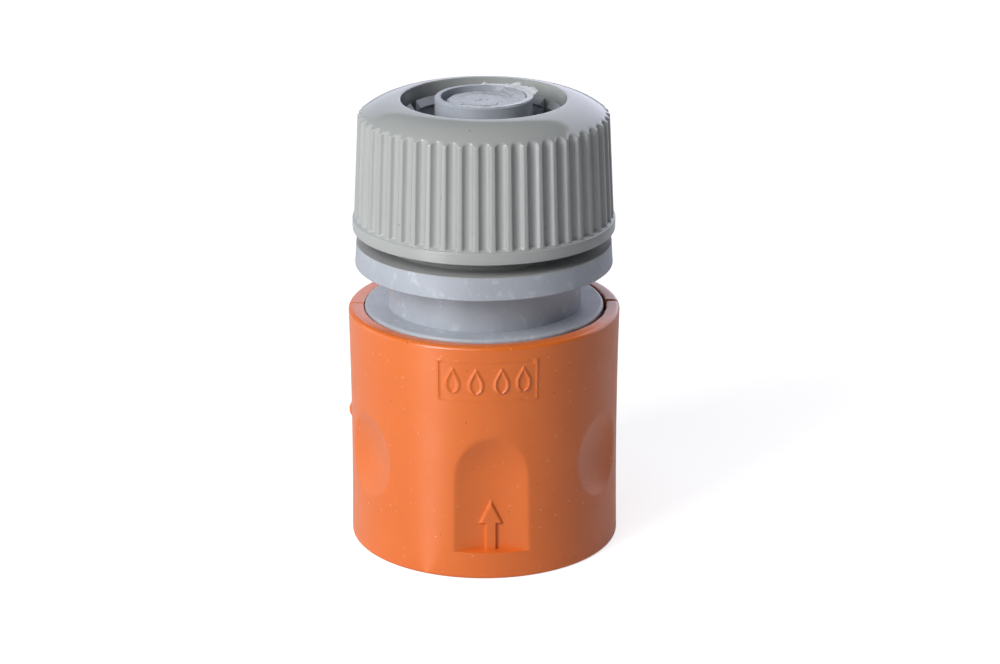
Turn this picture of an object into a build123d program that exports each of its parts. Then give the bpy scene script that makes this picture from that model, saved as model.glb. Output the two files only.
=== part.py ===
from build123d import *
import math
import os

# Garden hose quick connector with a water stop, standing on its socket mouth, hose end up.
# Millimetres. +Z runs from the socket mouth to the hose end, -Y is the front of the sleeve,
# and the origin is the centre of the socket mouth, on the face that the connector stands on.

# Clearances
fixed_gap = 0.1  # radial, between pieces that are assembled once and stay
running_gap = 0.3  # between pieces that move past each other
pin_gap = 0.1  # between a jaw's bead and its groove
seal_gap = 0.05  # between an O-ring and the surfaces that it seals
seat_gap = 0.05  # between a spring's end and its seat

# Travel of the moving pieces
sleeve_travel = 5.0
valve_travel = 4.8
jaw_swing = 7.0  # degrees, from locked to open

# Socket core: takes the 16 mm spigot of the mating half
socket_r = 8.1
guide_relief = 0.3
mouth_lead = 0.8
mouth_lead_h = 1.2
core_wall = 1.8
rim_w = 2.7
rim_h = 3.2
rim_edge = 0.3
seal_bore_h = 4.6
chamber_step = 0.9
core_web = 1.5
guide_r = socket_r + guide_relief
core_r = socket_r + core_wall
rim_r = core_r + rim_w
chamber_r = socket_r - chamber_step

# Skirt of the tail body, around the socket core
skirt_tip_wall = 0.9
skirt_wall = 2.2
skirt_bore_r = core_r + fixed_gap
skirt_tip_r = skirt_bore_r + skirt_tip_wall
skirt_r = skirt_bore_r + skirt_wall

# Locking jaws, in windows of the socket core
jaw_count = 4
jaw_turn = 45.0
jaw_w = 4.8
jaw_arm = 1.0
jaw_foot_z = 5.2
jaw_hook_reach = 1.1  # inwards from the spigot's side
jaw_hook_z = 8.0
jaw_hook_h = 0.8
jaw_pad_z = 9.0
jaw_pad_slope = 0.6
jaw_edge = 0.3
jaw_pivot_z = 16.5
jaw_bead_r = 0.6
jaw_bead_w = 7.2
jaw_neck_w = 0.6
window_gap = 0.6
jaw_back_r = skirt_tip_r
jaw_hook_r = socket_r - jaw_hook_reach
jaw_pivot_r = core_r - jaw_bead_r
window_top_z = jaw_pivot_z + jaw_bead_r + pin_gap
seal_bore_z = window_top_z + guide_relief
chamber_z = seal_bore_z + seal_bore_h

# Sleeve spring, between the sleeve's inner ring and the skirt
sleeve_spring_wire = 1.0
sleeve_spring_turns = 3.5
sleeve_spring_gap = 0.6
sleeve_spring_room = 13.7  # between the ring and the shoulder plate
land_h = 6.0
ring_wall = 0.9
sleeve_spring_r = skirt_r + sleeve_spring_gap + sleeve_spring_wire / 2
ring_r = sleeve_spring_r + sleeve_spring_wire / 2 + running_gap
spring_pocket_r = ring_r + ring_wall
ring_top_z = jaw_pad_z + land_h

# Shoulder plate and neck of the tail body
skirt_lap = 1.3  # of the skirt below the jaws' beads
plate_h = 2.8
plate_lap = 0.4  # beyond the pocket of the sleeve spring
plate_edge = 0.4
neck_lap = 0.3  # beyond the skirt
sleeve_drop = 0.3  # of the sleeve's top face below the plate's
raised_gap = 0.7  # between the raised sleeve and the grip flange
skirt_tip_z = jaw_pivot_z - skirt_lap
skirt_step_z = ring_top_z + sleeve_travel + running_gap
plate_z = ring_top_z + sleeve_spring_room
plate_r = spring_pocket_r + plate_lap
plate_top_z = plate_z + plate_h
neck_r = skirt_r + neck_lap

# Core seal, an O-ring in a groove of the socket core
core_seal_cord = 1.5
core_seal_drop = 0.7  # below the underside of the shoulder plate
core_seal_z = plate_z - core_seal_drop
core_seal_r = skirt_bore_r - seal_gap - core_seal_cord / 2

# Threaded collar of the tail body, and the bore of the hose nut that runs on it
thread_step = 0.7  # beyond the neck
thread_h = 6.6
thread_chamfer = 0.5
collar_wall = 2.4
nut_wall = 3.3
thread_r = neck_r + thread_step
collar_bore_r = thread_r - collar_wall
nut_bore_r = thread_r + running_gap
nut_band_r = nut_bore_r + nut_wall

# Grip flange
flange_step = 0.25  # inside the nut's band
flange_draft = 0.2
flange_h = 3.0
flange_edge = 0.15
hose_pocket_floor = 0.4  # below the flange's top face
flange_foot_r = nut_band_r - flange_step
flange_head_r = flange_foot_r - flange_draft
flange_z = plate_top_z - sleeve_drop + sleeve_travel + raised_gap
flange_top_z = flange_z + flange_h
collar_top_z = flange_top_z + thread_h
pocket_z = flange_top_z - hose_pocket_floor

# Collet fingers
finger_count = 6
finger_turn = 33.0
finger_h = 10.3
finger_step = 1.6  # of the fingers' foot inside the thread
finger_foot_wall = 1.3
finger_lean = 1.45
finger_waist_z = 6.5  # above the threaded collar
finger_tip_draw = 0.15
finger_tip_wall = 0.8
finger_funnel = 0.9
finger_tooth = 0.35
finger_tooth_pitch = 1.5
slot_foot_w = 1.0
slot_head_w = 1.7
slot_rise = 0.7  # of the slot's foot above the threaded collar
finger_foot_r = thread_r - finger_step
finger_waist_r = finger_foot_r - finger_lean
finger_tip_r = finger_waist_r - finger_tip_draw
finger_tip_bore_r = finger_tip_r - finger_tip_wall
finger_top_z = collar_top_z + finger_h

# Hose tail for a 13 mm hose, and its waterway
tail_r = 6.2
tail_proud = 1.9  # above the finger tips
tail_edge = 0.15
tail_rim_w = 0.75
tail_mouth_h = 2.5
tail_wall = 1.5
core_web_lap = 0.5  # of the socket core's web inside the waterway
tail_mouth_r = tail_r - tail_rim_w
tail_bore_r = tail_r - tail_wall
core_web_hole_r = tail_bore_r - core_web_lap
tail_top_z = finger_top_z + tail_proud
valve_seat_z = tail_top_z - tail_mouth_h

# Water-stop valve
plug_gap = 0.45
plug_h = 1.95
plug_edge = 0.6
valve_seal_cord = 1.4
valve_collar_h = 0.6
valve_collar_drop = 0.3
stem_r = 1.6
stem_pin_r = 1.2
rib_w = 1.2
rib_gap = 0.15
rib_foot_z = 38.5
foot_h = 2.0
foot_lift = 0.4  # above the floor of the chamber
foot_gap = 0.6
foot_ring_w = 0.7
foot_hub_r = 2.8
foot_arm_w = 1.8
foot_arm_count = 4
valve_spring_inset = 1.15
valve_spring_wire = 0.7
valve_spring_turns = 4.0
plug_r = tail_mouth_r - plug_gap
foot_r = chamber_r - foot_gap
valve_spring_r = foot_r - valve_spring_inset
valve_seal_r = tail_bore_r - seal_gap - valve_seal_cord / 2
valve_groove_r = valve_seal_r - valve_seal_cord / 2 - seal_gap
valve_collar_top_z = valve_seat_z - valve_seal_cord - 2 * seal_gap
rib_top_z = valve_collar_top_z - valve_collar_h
foot_z = chamber_z + foot_lift
foot_top_z = foot_z + foot_h
core_web_z = foot_top_z + valve_travel + valve_spring_wire * (valve_spring_turns + 1)
core_top_z = core_web_z + core_web

# Release sleeve
sleeve_wall = 1.7
sleeve_foot_draw = 0.05  # inside the radius of its top
sleeve_waist_draw = 0.2
sleeve_waist_z = 10.7
sleeve_top_edge = 0.6
sleeve_foot_edge = 0.45
sleeve_bore_edge = 0.2
plate_gap = 0.4
bore_floor_drop = 2.7  # below the plate's underside, with the sleeve raised
web_h = 2.4
sleeve_bore_r = plate_r + plate_gap
sleeve_top_r = sleeve_bore_r + sleeve_wall
sleeve_foot_r = sleeve_top_r - sleeve_foot_draw
sleeve_waist_r = sleeve_top_r - sleeve_waist_draw
sleeve_h = plate_top_z - sleeve_drop
bore_floor_z = plate_z - sleeve_travel - bore_floor_drop
land_r = max(skirt_tip_r, jaw_back_r) + running_gap
cam_slope = (jaw_pivot_z - jaw_pad_z) * math.tan(math.radians(jaw_swing)) / sleeve_travel
cam_foot_r = land_r + cam_slope * (jaw_pad_z - rim_h)
foot_bore_r = rim_r + running_gap

# Thumb recesses in the sleeve: hollow across, and turned out of the sleeve's side at the top
arch_turns = (1.25, 181.25)
arch_floor_z = 3.6
arch_spring_z = 13.4  # where the floor starts to rise
arch_depth = 1.3
arch_hollow_r = 16.6
arch_end_r = 13.0
arch_half_w = 6.0

# Raised arrow on the floor of each thumb recess
arrow_relief = 0.4
arrow_tip_z = 10.3
arrow_head_z = 7.15
arrow_head_w = 3.1
arrow_shaft_w = 1.5
arrow_draft = 20.0  # degrees, of its sides

# Finger dimples in the sleeve
dimple_turns = (30.0, 150.0, 208.5, 327.7)
dimple_z = 13.6
dimple_depth = 1.2
dimple_upright_r = 13.2
dimple_level_r = 21.0
dimple_half_h = 6.5

# Hose nut
nut_gap_below = 1.7  # above the flange, as the nut is left before it is tightened
nut_h = 16.9
nut_band_h = 1.6
nut_band_edge = 0.15
nut_band_step = 0.2
nut_taper = 0.65
nut_side_h = 14.7  # from the nut's foot to where its shoulder starts
nut_opening_gap = 0.35  # around the collet fingers
nut_shoulder_bulge = 0.47
nut_cone_z = 7.6
nut_cone_h = 6.0
nut_mouth_edge = 0.3
flute_count = 50
flute_turn = -1.3
flute_r = 0.81
flute_depth = 0.45
nut_side_foot_r = nut_band_r - nut_band_step
nut_side_head_r = nut_side_foot_r - nut_taper
nut_opening_r = finger_waist_r + nut_opening_gap
nut_z = flange_top_z + nut_gap_below
nut_top_z = nut_z + nut_h


def turned_plane(degrees):
    """Upright plane through the axis, its x axis pointing outwards at this turn from +X."""
    turn = math.radians(degrees)
    out = (math.cos(turn), math.sin(turn), 0)
    return Plane(origin=(0, 0, 0), x_dir=out, z_dir=(out[1], -out[0], 0))


def facing_plane(degrees, distance):
    """Upright plane that faces outwards at this turn from +X, at this distance from the axis."""
    turn = math.radians(degrees)
    out = (math.cos(turn), math.sin(turn), 0)
    return Plane(
        origin=(distance * out[0], distance * out[1], 0),
        x_dir=(-out[1], out[0], 0),
        z_dir=out,
    )


# Tail body: one moulding
finger_bore_slope = (finger_foot_r - finger_foot_wall - finger_tip_bore_r) / finger_h
funnel_z = finger_top_z - finger_funnel


def finger_bore_at(z):
    """Inner radius of the fingers at this height."""
    return finger_tip_bore_r + (finger_top_z - z) * finger_bore_slope


with BuildPart() as tail_body:
    with BuildSketch(Plane.XZ):
        with BuildLine():
            Polyline(
                (skirt_bore_r, skirt_tip_z),
                (skirt_tip_r, skirt_tip_z),
                (skirt_tip_r, skirt_step_z),
                (skirt_r, skirt_step_z),
                (skirt_r, plate_z),
                (plate_r, plate_z),
                (plate_r, plate_top_z),
                (neck_r, plate_top_z),
                (neck_r, flange_z),
                (flange_foot_r, flange_z),
                (flange_head_r, flange_top_z),
                (thread_r, flange_top_z),
                (thread_r, collar_top_z - thread_chamfer),
                (thread_r - thread_chamfer, collar_top_z),
                (finger_foot_r, collar_top_z),
                (finger_waist_r, collar_top_z + finger_waist_z),
                (finger_tip_r, finger_top_z),
                (finger_bore_at(funnel_z), funnel_z),
                (finger_bore_at(funnel_z) + finger_tooth, funnel_z - finger_tooth),
                (finger_bore_at(funnel_z - finger_tooth_pitch), funnel_z - finger_tooth_pitch),
                (
                    finger_bore_at(funnel_z - finger_tooth_pitch) + finger_tooth,
                    funnel_z - finger_tooth_pitch - finger_tooth,
                ),
                (finger_foot_r - finger_foot_wall, collar_top_z),
                (collar_bore_r, collar_top_z - thread_chamfer),
                (collar_bore_r, pocket_z),
                (tail_r, pocket_z),
                (tail_r, tail_top_z - tail_edge),
                (tail_r - tail_edge, tail_top_z),
                (tail_mouth_r, tail_top_z),
                (tail_mouth_r, valve_seat_z),
                (tail_bore_r, valve_seat_z),
                (tail_bore_r, core_top_z),
                (skirt_bore_r, core_top_z),
                close=True,
            )
        make_face()
    revolve(axis=Axis.Z)
    circles = tail_body.edges().filter_by(GeomType.CIRCLE)
    plate_rim = circles.filter_by(lambda e: abs(e.radius - plate_r) < 0.01).sort_by(Axis.Z)[-1]
    fillet(plate_rim, plate_edge)
    flange_rim = tail_body.edges().filter_by(GeomType.CIRCLE).filter_by(
        lambda e: abs(e.radius - flange_foot_r) < 0.01 and abs(e.arc_center.Z - flange_z) < 0.01
    )
    fillet(flange_rim, flange_edge)
    for slot in range(finger_count):
        turn = finger_turn + slot * 360 / finger_count
        with BuildSketch(facing_plane(turn, (tail_r + finger_tip_bore_r) / 2)):
            with BuildLine():
                Polyline(
                    (-slot_foot_w / 2, collar_top_z + slot_rise),
                    (slot_foot_w / 2, collar_top_z + slot_rise),
                    (slot_head_w / 2, finger_top_z + tail_proud),
                    (-slot_head_w / 2, finger_top_z + tail_proud),
                    close=True,
                )
            make_face()
        extrude(amount=finger_foot_r, mode=Mode.SUBTRACT)
tail_body.part.label = "tail_body"

# Socket core: barrel with a front rim, jaw windows and a web over its water chamber
core_groove_r = core_seal_r - core_seal_cord / 2 - seal_gap
core_groove_h = core_seal_cord + 2 * seal_gap
with BuildPart() as socket_core:
    with BuildSketch(Plane.XZ):
        with BuildLine():
            Polyline(
                (guide_r + mouth_lead, 0),
                (rim_r, 0),
                (rim_r, rim_h),
                (core_r, rim_h),
                (core_r, core_seal_z - core_groove_h / 2),
                (core_groove_r, core_seal_z - core_groove_h / 2),
                (core_groove_r, core_seal_z + core_groove_h / 2),
                (core_r, core_seal_z + core_groove_h / 2),
                (core_r, core_top_z),
                (core_web_hole_r, core_top_z),
                (core_web_hole_r, core_web_z),
                (chamber_r, core_web_z),
                (chamber_r, chamber_z),
                (socket_r, chamber_z),
                (socket_r, seal_bore_z),
                (guide_r, seal_bore_z - guide_relief),
                (guide_r, mouth_lead_h),
                close=True,
            )
        make_face()
    revolve(axis=Axis.Z)
    front_rim = socket_core.edges().filter_by(GeomType.CIRCLE).filter_by(
        lambda e: abs(e.radius - rim_r) < 0.01 and abs(e.arc_center.Z) < 0.01
    )
    chamfer(front_rim, rim_edge)
    for jaw in range(jaw_count):
        turn = jaw_turn + jaw * 360 / jaw_count
        with BuildSketch(facing_plane(turn, chamber_r / 2)):
            with Locations((0, (jaw_foot_z - window_gap + window_top_z) / 2)):
                Rectangle(jaw_w + window_gap, window_top_z - jaw_foot_z + window_gap)
        extrude(amount=core_r, mode=Mode.SUBTRACT)
        with BuildSketch(turned_plane(turn)):
            with Locations((jaw_pivot_r, jaw_pivot_z)):
                Circle(jaw_bead_r + pin_gap)
        extrude(amount=(jaw_bead_w + window_gap) / 2, both=True, mode=Mode.SUBTRACT)
socket_core.part.label = "socket_core"

# Core seal: O-ring
with BuildPart() as core_seal:
    with BuildSketch(Plane.XZ):
        with Locations((core_seal_r, core_seal_z)):
            Circle(core_seal_cord / 2)
    revolve(axis=Axis.Z)
core_seal.part.label = "core_seal"

# Locking jaws: a hook, a back pad under the sleeve's land and a bead that it swings on
jaw_inner_r = guide_r + fixed_gap
jaw_outer_r = jaw_inner_r + jaw_arm
jaw_neck_z = jaw_pivot_z - jaw_bead_r
lock_jaws = []
for jaw in range(jaw_count):
    turn = jaw_turn + jaw * 360 / jaw_count
    with BuildPart() as lock_jaw:
        with BuildSketch(turned_plane(turn)):
            with BuildLine():
                Polyline(
                    (jaw_inner_r, jaw_foot_z),
                    (jaw_hook_r, jaw_hook_z - jaw_hook_h),
                    (jaw_hook_r, jaw_hook_z),
                    (jaw_inner_r, jaw_hook_z),
                    (jaw_inner_r, jaw_neck_z),
                    (jaw_pivot_r - jaw_neck_w / 2, jaw_pivot_z),
                    (jaw_pivot_r + jaw_neck_w / 2, jaw_pivot_z),
                    (jaw_outer_r, jaw_neck_z),
                    (jaw_outer_r, jaw_pad_z + jaw_pad_slope),
                    (jaw_back_r, jaw_pad_z),
                    (jaw_back_r, jaw_foot_z + jaw_edge),
                    (jaw_back_r - jaw_edge, jaw_foot_z),
                    close=True,
                )
            make_face()
        extrude(amount=jaw_w / 2, both=True)
        with BuildSketch(turned_plane(turn)):
            with Locations((jaw_pivot_r, jaw_pivot_z)):
                Circle(jaw_bead_r)
        extrude(amount=jaw_bead_w / 2, both=True)
        with BuildSketch(Plane.XZ):
            with BuildLine():
                Polyline(
                    (0, 0),
                    (jaw_back_r, 0),
                    (jaw_back_r, skirt_tip_z - running_gap),
                    (core_r - running_gap, skirt_tip_z - running_gap),
                    (core_r - running_gap, jaw_neck_z),
                    (core_r - pin_gap, jaw_neck_z),
                    (core_r - pin_gap, plate_z),
                    (0, plate_z),
                    close=True,
                )
            make_face()
        revolve(axis=Axis.Z, mode=Mode.INTERSECT)
    lock_jaw.part.label = f"lock_jaw_{jaw + 1}"
    lock_jaws.append(lock_jaw)

# Cutters of the thumb recesses: a hollow run up the side, and a quarter turn out of it
arch_floor_r = sleeve_waist_r - arch_depth
arch_hollow = arch_hollow_r - math.sqrt(arch_hollow_r**2 - arch_half_w**2)
arch_cutters = []
for turn in arch_turns:
    foot = Plane(origin=(0, 0, arch_floor_z), x_dir=turned_plane(turn - 90).x_dir, z_dir=(0, 0, 1))
    spring = foot.offset(arch_spring_z - arch_floor_z)
    with BuildPart() as arch_cutter:
        for level in (foot, spring):
            with BuildSketch(level):
                with BuildLine():
                    floor = ThreePointArc(
                        (arch_floor_r + arch_hollow, -arch_half_w),
                        (arch_floor_r, 0),
                        (arch_floor_r + arch_hollow, arch_half_w),
                    )
                    Polyline(
                        floor @ 1,
                        (arch_floor_r + arch_end_r, arch_half_w),
                        (arch_floor_r + arch_end_r, -arch_half_w),
                        floor @ 0,
                    )
                make_face()
            if level is foot:
                extrude(amount=arch_spring_z - arch_floor_z)
            else:
                end_axis = Axis(level.from_local_coords((arch_floor_r + arch_end_r, 0)), level.y_dir)
                revolve(axis=end_axis, revolution_arc=90)
    arch_cutters.append(arch_cutter.part)

# Cutters of the finger dimples: barrels with an upright axis
dimple_axis_r = sleeve_waist_r - dimple_depth + dimple_level_r
dimple_flat = dimple_upright_r - math.sqrt(dimple_upright_r**2 - dimple_half_h**2)
dimple_cutters = []
for turn in dimple_turns:
    plane = turned_plane(turn)
    with BuildPart() as dimple_cutter:
        with BuildSketch(plane):
            with BuildLine():
                side = ThreePointArc(
                    (dimple_axis_r - dimple_level_r + dimple_flat, dimple_z - dimple_half_h),
                    (dimple_axis_r - dimple_level_r, dimple_z),
                    (dimple_axis_r - dimple_level_r + dimple_flat, dimple_z + dimple_half_h),
                )
                Polyline(
                    side @ 1,
                    (dimple_axis_r, dimple_z + dimple_half_h),
                    (dimple_axis_r, dimple_z - dimple_half_h),
                    side @ 0,
                )
            make_face()
        revolve(axis=Axis(plane.from_local_coords((dimple_axis_r, 0)), (0, 0, 1)))
    dimple_cutters.append(dimple_cutter.part)

# Release sleeve: outer wall, foot web, inner ring with the cam, and a pocket for the spring
with BuildPart() as release_sleeve:
    with BuildSketch(Plane.XZ):
        with BuildLine():
            side = ThreePointArc(
                (sleeve_foot_r, 0), (sleeve_waist_r, sleeve_waist_z), (sleeve_top_r, sleeve_h)
            )
            Polyline(
                side @ 1,
                (sleeve_bore_r, sleeve_h),
                (sleeve_bore_r, bore_floor_z),
                (spring_pocket_r, bore_floor_z),
                (spring_pocket_r, web_h),
                (ring_r, web_h),
                (ring_r, ring_top_z),
                (land_r, ring_top_z),
                (land_r, jaw_pad_z),
                (cam_foot_r, rim_h),
                (foot_bore_r, rim_h),
                (foot_bore_r, 0),
                side @ 0,
            )
        make_face()
    revolve(axis=Axis.Z)
    top_rims = release_sleeve.edges().filter_by(GeomType.CIRCLE).group_by(Axis.Z)[-1].sort_by(SortBy.RADIUS)
    fillet(top_rims[-1], sleeve_top_edge)
    chamfer(top_rims[0], sleeve_bore_edge)
    foot_rims = release_sleeve.edges().filter_by(GeomType.CIRCLE).group_by(Axis.Z)[0].sort_by(SortBy.RADIUS)
    fillet(foot_rims[-1], sleeve_foot_edge)
    for cutter in arch_cutters + dimple_cutters:
        add(cutter, mode=Mode.SUBTRACT)
    for turn in arch_turns:
        with BuildSketch(facing_plane(turn - 90, arch_floor_r)) as arrow:
            with BuildLine():
                Polyline(
                    (0, arrow_tip_z),
                    (-arrow_head_w / 2, arrow_head_z),
                    (-arrow_shaft_w / 2, arrow_head_z),
                    (-arrow_shaft_w / 2, arch_floor_z - arrow_relief),
                    (arrow_shaft_w / 2, arch_floor_z - arrow_relief),
                    (arrow_shaft_w / 2, arrow_head_z),
                    (arrow_head_w / 2, arrow_head_z),
                    close=True,
                )
            make_face()
        extrude(arrow.sketch, amount=arrow_relief, taper=arrow_draft)
        extrude(arrow.sketch, amount=-arrow_relief)
release_sleeve.part.label = "release_sleeve"

# Sleeve spring: between the sleeve's inner ring and the shoulder plate
sleeve_spring_foot_z = ring_top_z + sleeve_spring_wire / 2 + seat_gap
sleeve_spring_h = plate_z - ring_top_z - sleeve_spring_wire - 2 * seat_gap
with BuildPart() as sleeve_spring:
    with BuildLine() as coil:
        Helix(
            pitch=sleeve_spring_h / sleeve_spring_turns,
            height=sleeve_spring_h,
            radius=sleeve_spring_r,
            center=(0, 0, sleeve_spring_foot_z),
        )
    with BuildSketch(Plane(origin=coil.line @ 0, z_dir=coil.line % 0)):
        Circle(sleeve_spring_wire / 2)
    sweep(path=coil.line, is_frenet=True)
sleeve_spring.part.label = "sleeve_spring"

# Valve stem: plug, groove for the seal, guide ribs and rod in one piece
plug_top_z = valve_seat_z + plug_h
with BuildPart() as valve_stem:
    with BuildSketch(Plane.XZ):
        with BuildLine():
            Polyline(
                (0, foot_z),
                (stem_pin_r, foot_z),
                (stem_pin_r, foot_top_z),
                (stem_r, foot_top_z),
                (stem_r, rib_top_z),
                (tail_bore_r - valve_collar_drop, rib_top_z),
                (tail_bore_r - valve_collar_drop, valve_collar_top_z),
                (valve_groove_r, valve_collar_top_z),
                (valve_groove_r, valve_seat_z),
                (plug_r, valve_seat_z),
                (plug_r, plug_top_z),
                (0, plug_top_z),
                close=True,
            )
        make_face()
    revolve(axis=Axis.Z)
    plug_rim = valve_stem.edges().filter_by(GeomType.CIRCLE).group_by(Axis.Z)[-1]
    fillet(plug_rim, plug_edge)
    with BuildSketch(Plane.XY.offset(rib_foot_z)):
        Rectangle(2 * tail_bore_r, rib_w)
        Rectangle(rib_w, 2 * tail_bore_r)
        Circle(tail_bore_r - rib_gap, mode=Mode.INTERSECT)
    extrude(amount=rib_top_z - rib_foot_z)
valve_stem.part.label = "valve_stem"

# Valve seal: O-ring
with BuildPart() as valve_seal:
    with BuildSketch(Plane.XZ):
        with Locations((valve_seal_r, valve_seat_z - seal_gap - valve_seal_cord / 2)):
            Circle(valve_seal_cord / 2)
    revolve(axis=Axis.Z)
valve_seal.part.label = "valve_seal"

# Valve foot: spider that the spigot pushes, open between its arms
with BuildPart() as valve_foot:
    with BuildSketch(Plane.XY.offset(foot_z)):
        Circle(foot_r)
        Circle(foot_r - foot_ring_w, mode=Mode.SUBTRACT)
        with PolarLocations(0, foot_arm_count // 2, angular_range=180):
            Rectangle(2 * foot_r - foot_ring_w, foot_arm_w)
        Circle(foot_hub_r)
        Circle(stem_pin_r + seal_gap, mode=Mode.SUBTRACT)
    extrude(amount=foot_h)
valve_foot.part.label = "valve_foot"

# Valve spring: between the valve foot and the web of the socket core
valve_spring_h = core_web_z - foot_top_z - valve_spring_wire - 2 * seat_gap
with BuildPart() as valve_spring:
    with BuildLine() as coil:
        Helix(
            pitch=valve_spring_h / valve_spring_turns,
            height=valve_spring_h,
            radius=valve_spring_r,
            center=(0, 0, foot_top_z + valve_spring_wire / 2 + seat_gap),
        )
    with BuildSketch(Plane(origin=coil.line @ 0, z_dir=coil.line % 0)):
        Circle(valve_spring_wire / 2)
    sweep(path=coil.line, is_frenet=True)
valve_spring.part.label = "valve_spring"

# Flute of the hose nut, which follows the draft of its side
side_draft = math.atan((nut_side_foot_r - nut_side_head_r) / (nut_side_h - nut_band_h))
flute_foot_z = nut_z + nut_band_h
flute_axis_r = nut_side_foot_r - flute_depth + flute_r
with BuildPart() as flute:
    flute_plane = Plane(
        origin=(flute_axis_r, 0, flute_foot_z),
        x_dir=(0, 1, 0),
        z_dir=(-math.sin(side_draft), 0, math.cos(side_draft)),
    )
    with BuildSketch(flute_plane):
        Circle(flute_r)
    extrude(amount=nut_h)

# Hose nut: fluted side over a plain band, domed shoulder, and a cone inside for the fingers
with BuildPart() as hose_nut:
    with BuildSketch(Plane.XZ):
        side_top = (nut_side_head_r, nut_z + nut_side_h)
        opening = (nut_opening_r, nut_top_z)
        chord = (side_top[0] - opening[0], side_top[1] - opening[1])
        chord_length = math.hypot(*chord)
        crown = (
            (side_top[0] + opening[0]) / 2 - chord[1] / chord_length * nut_shoulder_bulge,
            (side_top[1] + opening[1]) / 2 + chord[0] / chord_length * nut_shoulder_bulge,
        )
        with BuildLine():
            ThreePointArc(side_top, crown, opening)
            Polyline(
                opening,
                (nut_opening_r, nut_z + nut_cone_z + nut_cone_h),
                (nut_bore_r, nut_z + nut_cone_z),
                (nut_bore_r, nut_z + nut_mouth_edge),
                (nut_bore_r + nut_mouth_edge, nut_z),
                (nut_band_r, nut_z),
                (nut_band_r, nut_z + nut_band_h),
                (nut_side_foot_r, nut_z + nut_band_h),
                side_top,
            )
        make_face()
    revolve(axis=Axis.Z)
    band_rims = hose_nut.edges().filter_by(GeomType.CIRCLE).filter_by(
        lambda e: abs(e.radius - nut_band_r) < 0.01
    )
    fillet(band_rims, nut_band_edge)
    with PolarLocations(0, flute_count, start_angle=flute_turn - 90):
        add(flute.part, mode=Mode.SUBTRACT)
hose_nut.part.label = "hose_nut"

os.makedirs("parts", exist_ok=True)
pieces = [
    tail_body,
    socket_core,
    core_seal,
    *lock_jaws,
    release_sleeve,
    sleeve_spring,
    valve_stem,
    valve_seal,
    valve_foot,
    valve_spring,
    hose_nut,
]
for piece in pieces:
    export_step(piece.part, f"parts/{piece.part.label}.step")
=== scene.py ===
import math

import bmesh
import bpy
import numpy as np
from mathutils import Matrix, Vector


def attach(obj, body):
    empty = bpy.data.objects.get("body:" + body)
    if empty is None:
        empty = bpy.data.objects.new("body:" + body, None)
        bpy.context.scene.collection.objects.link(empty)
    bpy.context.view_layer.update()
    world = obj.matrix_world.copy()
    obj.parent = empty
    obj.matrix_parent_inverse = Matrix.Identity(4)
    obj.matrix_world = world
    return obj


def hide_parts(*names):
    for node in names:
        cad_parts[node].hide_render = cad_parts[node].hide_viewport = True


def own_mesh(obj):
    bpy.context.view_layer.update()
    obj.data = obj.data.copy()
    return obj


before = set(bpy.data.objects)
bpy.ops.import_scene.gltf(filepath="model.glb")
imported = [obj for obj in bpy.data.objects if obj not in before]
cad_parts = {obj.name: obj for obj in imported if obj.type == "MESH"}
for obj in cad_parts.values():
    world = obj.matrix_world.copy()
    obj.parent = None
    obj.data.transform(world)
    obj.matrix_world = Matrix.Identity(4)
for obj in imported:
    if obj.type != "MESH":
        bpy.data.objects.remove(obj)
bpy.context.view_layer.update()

MM = 0.001

# Shapes are in millimetres, materials and the stage in metres. Angles are degrees around the axis
# from the front of the sleeve (-Y), positive towards +X.


# Mesh helpers

MERGE_WITHIN = 1e-8
HAIR = 0.01     # room in comparisons of heights


def rounded(corners, steps=5):
    """Closed outline of (r, z, corner radius) corners as points, each corner an arc of its radius."""
    points = []
    count = len(corners)
    for i, (r, z, radius) in enumerate(corners):
        here = np.array((r, z), float)
        if radius == 0:
            points.append(here)
            continue
        back = np.array(corners[i - 1][:2]) - here
        ahead = np.array(corners[(i + 1) % count][:2]) - here
        back /= np.linalg.norm(back)
        ahead /= np.linalg.norm(ahead)
        half = math.acos(np.clip(back @ ahead, -1, 1)) / 2
        centre = here + (back + ahead) / np.linalg.norm(back + ahead) * radius / math.sin(half)
        start = here + back * radius / math.tan(half) - centre
        end = here + ahead * radius / math.tan(half) - centre
        sweep = math.acos(np.clip(start @ end / radius**2, -1, 1))
        for k in range(steps + 1):
            t = k / steps
            w = (math.sin((1 - t) * sweep) * start + math.sin(t * sweep) * end) / math.sin(sweep)
            points.append(centre + w)
    return np.array(points)


def turned(outline, azimuths, shape):
    """Grid of the (r, z) outline turned about the axis. shape(az, r, z) moves its points."""
    az, r = np.meshgrid(np.asarray(azimuths, float), outline[:, 0])
    _, z = np.meshgrid(np.asarray(azimuths, float), outline[:, 1])
    az, r, z = shape(az, r, z)
    rad = np.radians(az)
    verts = np.stack([r * np.sin(rad), -r * np.cos(rad), z], -1).reshape(-1, 3)
    rows, cols = az.shape
    i, j = np.meshgrid(np.arange(rows), np.arange(cols), indexing="ij")
    a = i * cols + j
    b = i * cols + (j + 1) % cols
    c = (i + 1) % rows * cols + (j + 1) % cols
    d = (i + 1) % rows * cols + j
    faces = np.stack([a, b, c, d], -1).reshape(-1, 4)
    return verts, faces


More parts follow.
